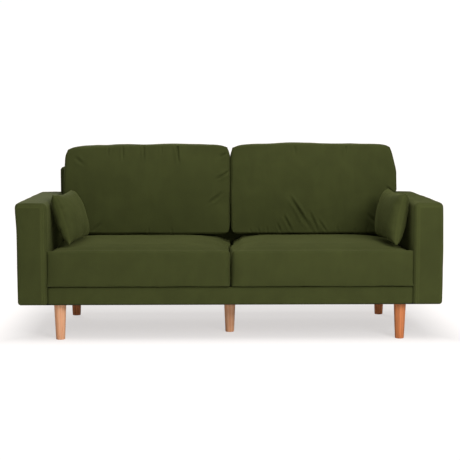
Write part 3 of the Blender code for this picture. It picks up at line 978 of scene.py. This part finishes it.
def seat_cushions():
    """Both seat cushions: swollen as cloth, sewn, and settled between their neighbours."""
    shape = bpy.context.scene.sofa_shape
    made = [(name, sign, *seat_shell(name, sign)) for name, sign in SIDES.items()]
    pins = [np.flatnonzero(top | bottom) for _, _, _, top, _, bottom in made]
    swell([piece for _, _, piece, *_ in made], pins)
    for name, sign, piece, top, rim, _ in made:
        points = read_points(piece.data)
        dome_seat(points, read_normals(piece.data))
        keep_seat_in_place(points, sign)
        write_points(piece.data, points)
        sew(piece, top, shape.seam_depth)
        sew(piece, rim, 0.0015)
        subdivide_smooth(piece)
        points = read_points(piece.data)
        normals = read_normals(piece.data)
        points += normals * waviness(points, 7.0, 0.0022, 31 + sign)[:, None]
        points += normals * waviness(points, 26.0, 0.0007, 35 + sign)[:, None]
        keep_seat_in_place(points, sign)
        write_points(piece.data, points)
        body = f"{name}_seat_cushion"
        upholster(piece, body, 0.9, f"{body}_cover", f"{body}_filling")


BACK_CUSHION_TURN = Matrix.Rotation(-BACK_CUSHION_LEAN, 3, "X")
# corner radii across and up, by (side of the cushion, top or bottom), in metres
CUSHION_CORNERS = {
    "left": {
        (-1, 1): (0.058, 0.058),
        (1, 1): (0.055, 0.040),
        (-1, -1): (0.04, 0.04),
        (1, -1): (0.03, 0.03),
    },
    "right": {
        (-1, 1): (0.060, 0.040),
        (1, 1): (0.038, 0.040),
        (-1, -1): (0.03, 0.03),
        (1, -1): (0.04, 0.04),
    },
}
# creases in front: start (x, z), end (x, z), width, depth, and whether it starts at a seam
CUSHION_FOLDS = {
    "left": (
        ((-0.5450, 0.902), (-0.5450, 0.828), 0.0055, 0.0050, True),
        ((-0.4405, 0.900), (-0.4385, 0.822), 0.0055, 0.0050, True),
        ((-0.2716, 0.902), (-0.2650, 0.812), 0.0065, 0.0085, True),
        ((-0.350, 0.902), (-0.352, 0.862), 0.0055, 0.0030, True),
        ((-0.620, 0.900), (-0.624, 0.856), 0.0055, 0.0030, True),
        ((-0.068, 0.738), (0.004, 0.782), 0.0070, 0.0065, False),
        ((-0.112, 0.612), (-0.034, 0.672), 0.0090, 0.0045, False),
        ((-0.055, 0.850), (-0.010, 0.872), 0.0070, 0.0040, False),
        ((-0.800, 0.850), (-0.745, 0.806), 0.0090, 0.0035, False),
        ((-0.700, 0.470), (-0.650, 0.520), 0.0080, 0.0035, False),
        ((-0.300, 0.458), (-0.304, 0.492), 0.0055, 0.0025, True),
        ((-0.420, 0.458), (-0.415, 0.495), 0.0055, 0.0025, True),
    ),
    "right": (
        ((0.306, 0.646), (0.414, 0.478), 0.0085, 0.0095, False),
        ((0.272, 0.556), (0.318, 0.462), 0.0070, 0.0070, False),
        ((0.352, 0.560), (0.384, 0.500), 0.0065, 0.0050, False),
        ((0.406, 0.572), (0.455, 0.456), 0.0070, 0.0065, False),
        ((0.452, 0.530), (0.500, 0.456), 0.0060, 0.0050, False),
        ((0.240, 0.512), (0.262, 0.456), 0.0060, 0.0045, False),
        ((0.795, 0.700), (0.842, 0.648), 0.0080, 0.0070, False),
        ((0.700, 0.560), (0.760, 0.500), 0.0090, 0.0040, False),
        ((0.330, 0.905), (0.334, 0.856), 0.0065, 0.0035, True),
        ((0.600, 0.902), (0.596, 0.862), 0.0065, 0.0030, True),
        ((0.110, 0.456), (0.098, 0.486), 0.0055, 0.0030, True),
        ((0.150, 0.456), (0.141, 0.492), 0.0055, 0.0035, True),
        ((0.190, 0.456), (0.186, 0.500), 0.0055, 0.0038, True),
        ((0.556, 0.456), (0.546, 0.500), 0.0060, 0.0032, True),
        ((0.640, 0.456), (0.644, 0.492), 0.0055, 0.0026, True),
        ((0.700, 0.456), (0.706, 0.502), 0.0060, 0.0030, True),
    ),
}


def back_cushion_shell(name):
    """A back cushion before it swells, upright about its middle. Returns it and its seams."""
    grid = bpy.context.scene.sofa_shape.fine_cloth_grid
    half = np.array(BACK_CUSHION_SIZE) / 2
    low = -(half - (0.004, 0.0235, 0.018))
    high = half - (0.004, 0.0060, 0.018)
    xs = lay_lines(low[0], high[0], grid, *rounding_stops(low[0], high[0], 0.06))
    ys = lay_lines(low[1], high[1], grid)
    zs = lay_lines(low[2], high[2], grid, *rounding_stops(low[2], high[2], 0.05))
    cushion = block_shell(f"{name}_back_cushion_velvet", xs, ys, zs)
    flat = read_points(cushion.data)
    radii = np.zeros_like(flat)
    for (side, level), (across, up) in CUSHION_CORNERS[name].items():
        here = (np.sign(flat[:, 0] + 1e-9) == side) & (np.sign(flat[:, 2] + 1e-9) == level)
        radii[here] = (across, 0.0, up)
    points = rounded(flat, low, high, radii)
    across, through, up = ((2 * flat - (low + high)) / (high - low)).T
    rim = (np.abs(across) > 1 - NEAR_END) | (np.abs(up) > 1 - NEAR_END)
    front, rear = through < -1 + NEAR_END, through > 1 - NEAR_END
    points[:, 1] -= front * 0.010 * (bulge(across) * bulge(up))
    points[:, 2] += 0.007 * (up > 0) * up**4 * (1 - across**2)
    points[:, 0] += 0.004 * across**3 * (1 - up**2)
    write_points(cushion.data, points)
    return cushion, (rim & front, rim & rear)


def slump(name, local):
    """Uneven filling: how a back cushion's top rises and falls along its width, in metres."""
    along = local[:, 0] / (BACK_CUSHION_SIZE.x / 2)
    top = smoothstep(0.05, 1.0, local[:, 2] / (BACK_CUSHION_SIZE.z / 2))
    if name == "left":
        rise = 0.004 + 0.006 * along
    else:
        rise = 0.008 + 0.004 * np.exp(-(((along + 0.25) / 0.5) ** 2))
    sag = 0.014 * smoothstep(-0.30, -0.95, local[:, 2] / (BACK_CUSHION_SIZE.z / 2))
    return top * rise - sag * smoothstep(0.02, -0.05, local[:, 1])


def back_cushions():
    """Both back cushions: swollen, sewn, creased, and rested on the seats."""
    shape = bpy.context.scene.sofa_shape
    made = [(name, sign, *back_cushion_shell(name)) for name, sign in SIDES.items()]
    pins = [np.flatnonzero(front | rear) for *_, (front, rear) in made]
    swell([piece for _, _, piece, _ in made], pins)
    seats = seat_trees()
    for name, sign, piece, seams in made:
        low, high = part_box(f"{name}_back_cushion_cover")
        middle = (np.array(low) + np.array(high)) / 2
        for seam in seams:
            sew(piece, seam, shape.seam_depth)
        subdivide_smooth(piece)
        local = read_points(piece.data)
        normals = read_normals(piece.data)
        local += normals * waviness(local, 6.0, 0.0050, 41 + sign)[:, None]
        local += normals * waviness(local, 17.0, 0.0016, 47 + sign)[:, None]
        local[:, 2] += slump(name, local)
        local[:, 1] = np.minimum(local[:, 1], BACK_CUSHION_SIZE.y / 2)
        points = local @ np.array(BACK_CUSHION_TURN).T + middle
        facing = np.clip(-normals[:, 1], 0, 1)
        for start, end, width, depth, from_seam in CUSHION_FOLDS[name]:
            drawn = fold(points[:, 0], points[:, 2], start, end, width, depth, from_seam)
            points[:, 1] += facing * drawn
        above_arm = smoothstep(ARM_HIGH.z + 0.005, ARM_HIGH.z + 0.030, points[:, 2])
        outer = ARM_LOW.x - 0.002 + 0.014 * above_arm
        to_middle = MIDDLE_X - 0.0005
        if sign < 0:
            points[:, 0] += to_middle * smoothstep(-0.80, -0.20, points[:, 0])
            leaning = smoothstep(0.64, 0.86, points[:, 2])
            points[:, 0] += (0.004 + 0.009 * leaning) * smoothstep(-0.50, -0.84, points[:, 0])
            points[:, 0] = np.clip(points[:, 0], -outer, MIDDLE_X - NEIGHBOUR_GAP / 2)
        else:
            leaning = smoothstep(0.76, 0.90, points[:, 2])
            wider = to_middle + 0.006 * above_arm - 0.025 * leaning
            outwards = smoothstep(0.45, 0.85, points[:, 0])
            points[:, 0] += to_middle + (wider - to_middle) * outwards
            points[:, 0] = np.clip(points[:, 0], MIDDLE_X + NEIGHBOUR_GAP / 2, outer)
        against_back = points[:, 2] < BACK_HIGH.z + 0.004
        rest = BACK_FRONT_Y + np.where(against_back, -NEIGHBOUR_GAP, 0.012)
        points[:, 1] = np.minimum(points[:, 1], rest)
        rest_on_seats(points, seats, 0.03)
        write_points(piece.data, points)
        body = f"{name}_back_cushion"
        upholster(piece, body, 0.75, f"{body}_cover", f"{body}_filling")


def scatter_shell(name, sign):
    """A small oblong cushion before it swells, thin across X. Returns it and its seam."""
    half = np.array(SCATTER_SIZE) / 2
    ys, zs = np.linspace(-1, 1, 53), np.linspace(-1, 1, 35)
    cushion = block_shell(f"{name}_scatter_cushion_velvet", [-1.0, 1.0], ys, zs)
    flat = read_points(cushion.data)
    u, v = flat[:, 1], flat[:, 2]
    size = np.array([1.0, half[1], half[2]])
    outline = rounded(flat * size, -size, size, np.tile((0.0, 0.046, 0.046), (len(flat), 1)))
    fullness = ((1 - np.abs(u) ** 3.2) * (1 - np.abs(v) ** 2.4)) ** 0.52
    horn = (np.abs(u) ** 10) * (np.abs(v) ** 10)
    points = outline
    points[:, 0] = flat[:, 0] * (0.0014 + np.where(flat[:, 0] * sign < 0, 0.060, 0.048) * fullness)
    points[:, 1] += np.sign(u) * horn * 0.010 - 0.010 * u * (1 - v**2)
    points[:, 2] += np.sign(v) * horn * 0.010 - 0.009 * v * (1 - u**2)
    write_points(cushion.data, points)
    return cushion, (np.abs(u) > 1 - NEAR_END) | (np.abs(v) > 1 - NEAR_END)


def scatter_cushions():
    """Both scatter cushions: swollen, and leant on the arms."""
    made = [(name, sign, *scatter_shell(name, sign)) for name, sign in SIDES.items()]
    swell([piece for _, _, piece, _ in made], [np.flatnonzero(rim) for *_, rim in made])
    seats = seat_trees()
    half = np.array(SCATTER_SIZE) / 2
    for name, sign, piece, rim in made:
        points = read_points(piece.data)
        normals = read_normals(piece.data)
        to_edge = np.minimum(half[1] - np.abs(points[:, 1]), half[2] - np.abs(points[:, 2]))
        gather = np.exp(-np.clip(to_edge, 0, 1) / 0.030) * (~rim)
        ripples = waviness(points * (0.2, 1, 1), 44.0, 0.0085, 61 + sign)
        points += normals * (gather * ripples + waviness(points, 14.0, 0.0025, 67 + sign))[:, None]
        write_points(piece.data, points)
        # Seam marks at half strength round the rim, for the velvet's painted shade and highlight.
        mark_seam(piece, rim.astype(float) * 0.5)
        subdivide_smooth(piece)
        points = read_points(piece.data)
        yaw = Matrix.Rotation(sign * SCATTER_YAW[name], 3, "Z")
        turn = yaw @ Matrix.Rotation(sign * SCATTER_TILT[name], 3, "Y")
        low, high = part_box(f"{name}_scatter_cushion")
        points = points @ np.array(turn).T + np.array((low + high) / 2)
        points[:, 2] -= SCATTER_DROP
        x = np.abs(points[:, 0])
        beside_arm = points[:, 2] < ARM_HIGH.z + 0.006
        points[:, 0] = sign * np.where(beside_arm, np.minimum(x, ARM_LOW.x - 0.001), x)
        rest_on_seats(points, seats, 0.04)
        write_points(piece.data, points)
        upholster(piece, f"{name}_scatter_cushion", 0.85, f"{name}_scatter_cushion")


def zip_strip(name, half_length, body, place, turn):
    """A woven tape with its teeth, in a cushion's rear face, about the zip's middle."""
    tape_size = (2 * half_length + 0.016, 0.0005, 0.026)
    tape = small_block(f"{name}_zip_tape", (0, 0.0001, 0), tape_size)
    bpy.ops.object.mode_set(mode="EDIT")
    bpy.ops.mesh.subdivide(number_cuts=2)
    bpy.ops.mesh.select_all(action="SELECT")
    bevel_selected(0.0001, 1)
    first = (-half_length + ZIP_TOOTH_PITCH / 2, 0.0006, 0)
    teeth = small_block(f"{name}_zip_teeth", first, (0.0017, 0.0011, 0.0052))
    bevel_selected(0.0003, 1)
    repeat(teeth, int(2 * half_length / ZIP_TOOTH_PITCH), (ZIP_TOOTH_PITCH, 0.0, 0.0))
    for piece, finish, slot in ((tape, "tape", "velvet"), (teeth, "steel", "steel")):
        points = read_points(piece.data) @ np.array(turn).T + np.array(place)
        write_points(piece.data, points)
        dress(piece, body, finish_for(finish))
        only(piece)
        bpy.ops.object.shade_smooth_by_angle(angle=math.radians(35))


def staple_row(name, start, end):
    """Staples along one edge of the lining under the sofa."""
    way = Vector(end) - Vector(start)
    count = int(way.length / STAPLE_SPACING)
    lengthwise = abs(way.x) > abs(way.y)
    size = (0.0105, 0.0011, 0.0007) if lengthwise else (0.0011, 0.0105, 0.0007)
    row = small_block(name, start, size)
    bevel_selected(0.00025, 2)
    repeat(row, count, way / (count - 1))
    dress(row, "frame", finish_for("steel"))


# --- operators --------------------------------------------------------------------------------


class SOFA_OT_frame_finishes(bpy.types.Operator):
    """Give every CAD piece that stays its own finish"""

    bl_idname = "sofa.frame_finishes"
    bl_label = "Frame Finishes"

    def execute(self, context):
        for name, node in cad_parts.items():
            low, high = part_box(name)
            size = list(high - low)
            along = "xyz"[size.index(max(size))]
            if "bolt" in name or "slider" in name or ("spring_" in name and "rail" not in name):
                finish = "steel"
            elif name.endswith("_leg"):
                finish = "leg"
            elif "back_cushion_filling" in name:
                finish = "fibre"
            elif "filling" in name or "padding" in name:
                finish = "foam"
            elif name.endswith("_cloth"):
                finish = "lining"
            elif any(word in name for word in ("cover", "apron", "scatter")):
                finish = "velvet"
            else:
                finish = f"timber_{along}"
            node.data.materials.clear()
            node.data.materials.append(finish_for(finish))
        return {"FINISHED"}


class SOFA_OT_legs(bpy.types.Operator):
    """Turn the five tapered legs"""

    bl_idname = "sofa.legs"
    bl_label = "Legs"

    def execute(self, context):
        for name, wood in LEGS.items():
            low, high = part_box(f"{name}_leg")
            bpy.ops.object.select_all(action="DESELECT")
            bpy.ops.mesh.primitive_cone_add(
                vertices=56,
                radius1=0.0212,
                radius2=(high.x - low.x) / 2,
                depth=high.z - low.z,
                location=(low + high) / 2,
            )
            leg = bpy.context.object
            leg.name = leg.data.name = f"{name}_turned_leg"
            settle(leg)
            bpy.ops.object.mode_set(mode="EDIT")
            bpy.ops.mesh.select_mode(type="FACE")
            bpy.ops.mesh.select_all(action="DESELECT")
            bpy.ops.object.mode_set(mode="OBJECT")
            for face in leg.data.polygons:
                face.select = abs(face.normal.z) > 0.9
            bevel_selected(0.0022, 3)
            dress(leg, "frame", finish_for(wood))
            only(leg)
            bpy.ops.object.shade_smooth_by_angle(angle=math.radians(40))
            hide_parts(f"{name}_leg")
        return {"FINISHED"}


class SOFA_OT_apron(bpy.types.Operator):
    """Pad and cover the strip under the seat cushions"""

    bl_idname = "sofa.apron"
    bl_label = "Apron"

    def execute(self, context):
        apron_shell()
        return {"FINISHED"}


class SOFA_OT_arms(bpy.types.Operator):
    """Pad and cover both arms"""

    bl_idname = "sofa.arms"
    bl_label = "Arms"

    def execute(self, context):
        for name, sign in SIDES.items():
            arm_shell(name, sign)
        return {"FINISHED"}


class SOFA_OT_back(bpy.types.Operator):
    """Pad and cover the back"""

    bl_idname = "sofa.back"
    bl_label = "Back"

    def execute(self, context):
        back_shell()
        return {"FINISHED"}


class SOFA_OT_seat_cushions(bpy.types.Operator):
    """Stuff and sew both seat cushions"""

    bl_idname = "sofa.seat_cushions"
    bl_label = "Seat Cushions"

    def execute(self, context):
        seat_cushions()
        return {"FINISHED"}


class SOFA_OT_back_cushions(bpy.types.Operator):
    """Stuff and sew both back cushions, and stand them on the seats"""

    bl_idname = "sofa.back_cushions"
    bl_label = "Back Cushions"

    def execute(self, context):
        back_cushions()
        return {"FINISHED"}


class SOFA_OT_scatter_cushions(bpy.types.Operator):
    """Stuff both scatter cushions, and lean them on the arms"""

    bl_idname = "sofa.scatter_cushions"
    bl_label = "Scatter Cushions"

    def execute(self, context):
        scatter_cushions()
        return {"FINISHED"}


class SOFA_OT_zips(bpy.types.Operator):
    """Sew a zip into the rear of each seat and back cushion"""

    bl_idname = "sofa.zips"
    bl_label = "Zips"

    def execute(self, context):
        level = Matrix.Identity(3)
        for name in SIDES:
            low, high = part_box(f"{name}_seat_cushion_cover")
            middle = (low + high) / 2
            place = (middle.x, high.y, middle.z)
            zip_strip(f"{name}_seat", SEAT_ZIP_HALF, f"{name}_seat_cushion", place, level)
            low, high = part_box(f"{name}_back_cushion_cover")
            out = BACK_CUSHION_TURN @ Vector((0, BACK_CUSHION_SIZE.y / 2, BACK_ZIP_HEIGHT))
            place = (low + high) / 2 + out
            body = f"{name}_back_cushion"
            zip_strip(f"{name}_back", BACK_ZIP_HALF, body, place, BACK_CUSHION_TURN)
        return {"FINISHED"}


class SOFA_OT_underside(bpy.types.Operator):
    """Staple the lining under the sofa"""

    bl_idname = "sofa.underside"
    bl_label = "Underside"

    def execute(self, context):
        low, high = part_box("dust_cloth")
        x, front, rear, z = high.x - 0.010, low.y + 0.010, high.y - 0.010, low.z - 0.0003
        staple_row("front_staples", (-x, front, z), (x, front, z))
        staple_row("rear_staples", (-x, rear, z), (x, rear, z))
        staple_row("left_staples", (-x, front + 0.05, z), (-x, rear - 0.05, z))
        staple_row("right_staples", (x, front + 0.05, z), (x, rear - 0.05, z))
        return {"FINISHED"}


class SOFA_OT_studio(bpy.types.Operator):
    """Lay the floor, and set the lights and the camera"""

    bl_idname = "sofa.studio"
    bl_label = "Studio"

    def execute(self, context):
        studio = context.scene.sofa_studio
        bpy.ops.object.select_all(action="DESELECT")
        bpy.ops.mesh.primitive_circle_add(
            vertices=96, radius=60.0, fill_type="NGON", location=(0, 0, -0.0005)
        )
        floor = bpy.context.object
        floor.name = "studio_floor"
        settle(floor)
        floor.data.materials.append(floor_finish())
        light_world(studio.ambient)
        for light in (
            ("overhead_light", (0.0, -0.5, 3.6), (0.0, 0.0, 0.3), (4.2, 3.2), studio.overhead),
            ("key_light", (2.1, -4.4, 2.5), (0.0, 0.0, 0.45), (2.0, 2.0), studio.key),
            ("low_fill", (0.4, -5.0, 0.7), (0.0, 0.0, 0.25), (3.4, 0.9), studio.low_fill),
            ("rear_light", (-1.8, 4.6, 3.0), (0.0, 0.2, 0.4), (3.0, 2.0), studio.rear),
        ):
            add_light(*light)
        lens = bpy.data.cameras.new("studio_camera")
        lens.lens, lens.sensor_width = 89.71, 36.0
        lens.clip_end = 300.0
        camera = bpy.data.objects.new("studio_camera", lens)
        camera.location = (-0.1068, -5.7447, 1.0553)
        camera.rotation_euler = (math.radians(90 - 5.643), 0.0, math.radians(-1.108))
        context.scene.collection.objects.link(camera)
        context.scene.camera = camera
        context.scene.view_settings.view_transform = "Standard"
        return {"FINISHED"}


def floor_finish():
    """White studio floor that glows for camera rays, so its shadows are kept pale; it glows less
    under and just in front of the sofa, a painted shadow area, and its warm glow tints that shadow.
    """
    finish = Finish("white_floor", Roughness=0.9, Specular_IOR_Level=0.1)
    tree = finish.tree
    grain = finish.clouds(3.0, 2.0)
    colour = finish.blend(grain, (0.86, 0.86, 0.86, 1), (0.88, 0.88, 0.88, 1))
    finish.done(Base_Color=colour)
    where = finish.node("ShaderNodeSeparateXYZ", {}, {"Vector": finish.place()}).output.node
    x, y = Socket(finish, where.outputs["X"]), Socket(finish, where.outputs["Y"])
    beside, before = ((x * x) ** 0.5).within(0.95, 1.25), (0 - y).within(0.22, 0.60)
    around = x.maths("MAXIMUM", beside, before)
    open_floor = x.maths("MAXIMUM", around, y.within(0.8, 1.5))
    seen = finish.node("ShaderNodeLightPath", {}, {}, "Is Camera Ray")
    glow = {"Color": (1.0, 0.965, 0.950, 1), "Strength": 1.10}
    pale = finish.node("ShaderNodeEmission", {}, glow)
    # Lower glow under and in front of the sofa paints a soft shadow there.
    share = seen * (0.56 + 0.44 * open_floor)
    mixed = finish.node("ShaderNodeMixShader", {}, {0: share, 2: pale})
    tree.links.new(finish.surface.outputs[0], mixed.output.node.inputs[1])
    tree.links.new(mixed.output, tree.nodes["Material Output"].inputs["Surface"])
    return finish.material


def light_world(strength):
    """Even light from all round, seen as white."""
    world = bpy.data.worlds.new("studio_world")
    bpy.context.scene.world = world
    world.use_nodes = True
    nodes, links = world.node_tree.nodes, world.node_tree.links
    even = nodes["Background"]
    even.inputs["Color"].default_value = (1.0, 1.0, 1.0, 1.0)
    even.inputs["Strength"].default_value = strength
    white = nodes.new("ShaderNodeBackground")
    white.inputs["Color"].default_value = (1.0, 1.0, 1.0, 1.0)
    white.inputs["Strength"].default_value = 1.02
    path = nodes.new("ShaderNodeLightPath")
    mix = nodes.new("ShaderNodeMixShader")
    links.new(path.outputs["Is Camera Ray"], mix.inputs[0])
    links.new(even.outputs[0], mix.inputs[1])
    links.new(white.outputs[0], mix.inputs[2])
    links.new(mix.outputs[0], nodes["World Output"].inputs["Surface"])


def add_light(name, place, target, size, power):
    """A soft rectangular light that faces a point."""
    data = bpy.data.lights.new(name, "AREA")
    data.shape = "RECTANGLE"
    data.size, data.size_y = size
    data.energy = power
    light = bpy.data.objects.new(name, data)
    light.location = place
    light.rotation_euler = (Vector(target) - Vector(place)).to_track_quat("-Z", "Y").to_euler()
    light.visible_camera = False
    bpy.context.scene.collection.objects.link(light)


class SOFA_PT_panel(bpy.types.Panel):
    """Lists the sofa's pieces"""

    bl_idname = "SOFA_PT_panel"
    bl_label = "Velvet Sofa"
    bl_space_type = "VIEW_3D"
    bl_region_type = "UI"
    bl_category = "Sofa"

    def draw(self, context):
        column = self.layout.column(align=True)
        for group in (getattr(context.scene, name) for name in GROUPS):
            for name in group.bl_rna.properties.keys():
                if name not in ("name", "rna_type"):
                    column.prop(group, name)
        for operator in OPERATORS:
            column.operator(operator.bl_idname)


OPERATORS = (
    SOFA_OT_frame_finishes,
    SOFA_OT_legs,
    SOFA_OT_apron,
    SOFA_OT_arms,
    SOFA_OT_back,
    SOFA_OT_seat_cushions,
    SOFA_OT_back_cushions,
    SOFA_OT_scatter_cushions,
    SOFA_OT_zips,
    SOFA_OT_underside,
    SOFA_OT_studio,
)
GROUPS = {"sofa_shape": SofaShape, "sofa_finish": SofaFinish, "sofa_studio": SofaStudio}


def register():
    for name, group in GROUPS.items():
        bpy.utils.register_class(group)
        setattr(bpy.types.Scene, name, bpy.props.PointerProperty(type=group))
    for operator in OPERATORS:
        bpy.utils.register_class(operator)
    bpy.utils.register_class(SOFA_PT_panel)


def unregister():
    bpy.utils.unregister_class(SOFA_PT_panel)
    for operator in reversed(OPERATORS):
        bpy.utils.unregister_class(operator)
    for name, group in reversed(GROUPS.items()):
        delattr(bpy.types.Scene, name)
        bpy.utils.unregister_class(group)


def main():
    register()
    for operator in OPERATORS:
        group, _, name = operator.bl_idname.partition(".")
        getattr(getattr(bpy.ops, group), name)()


if __name__ == "__main__":
    main()
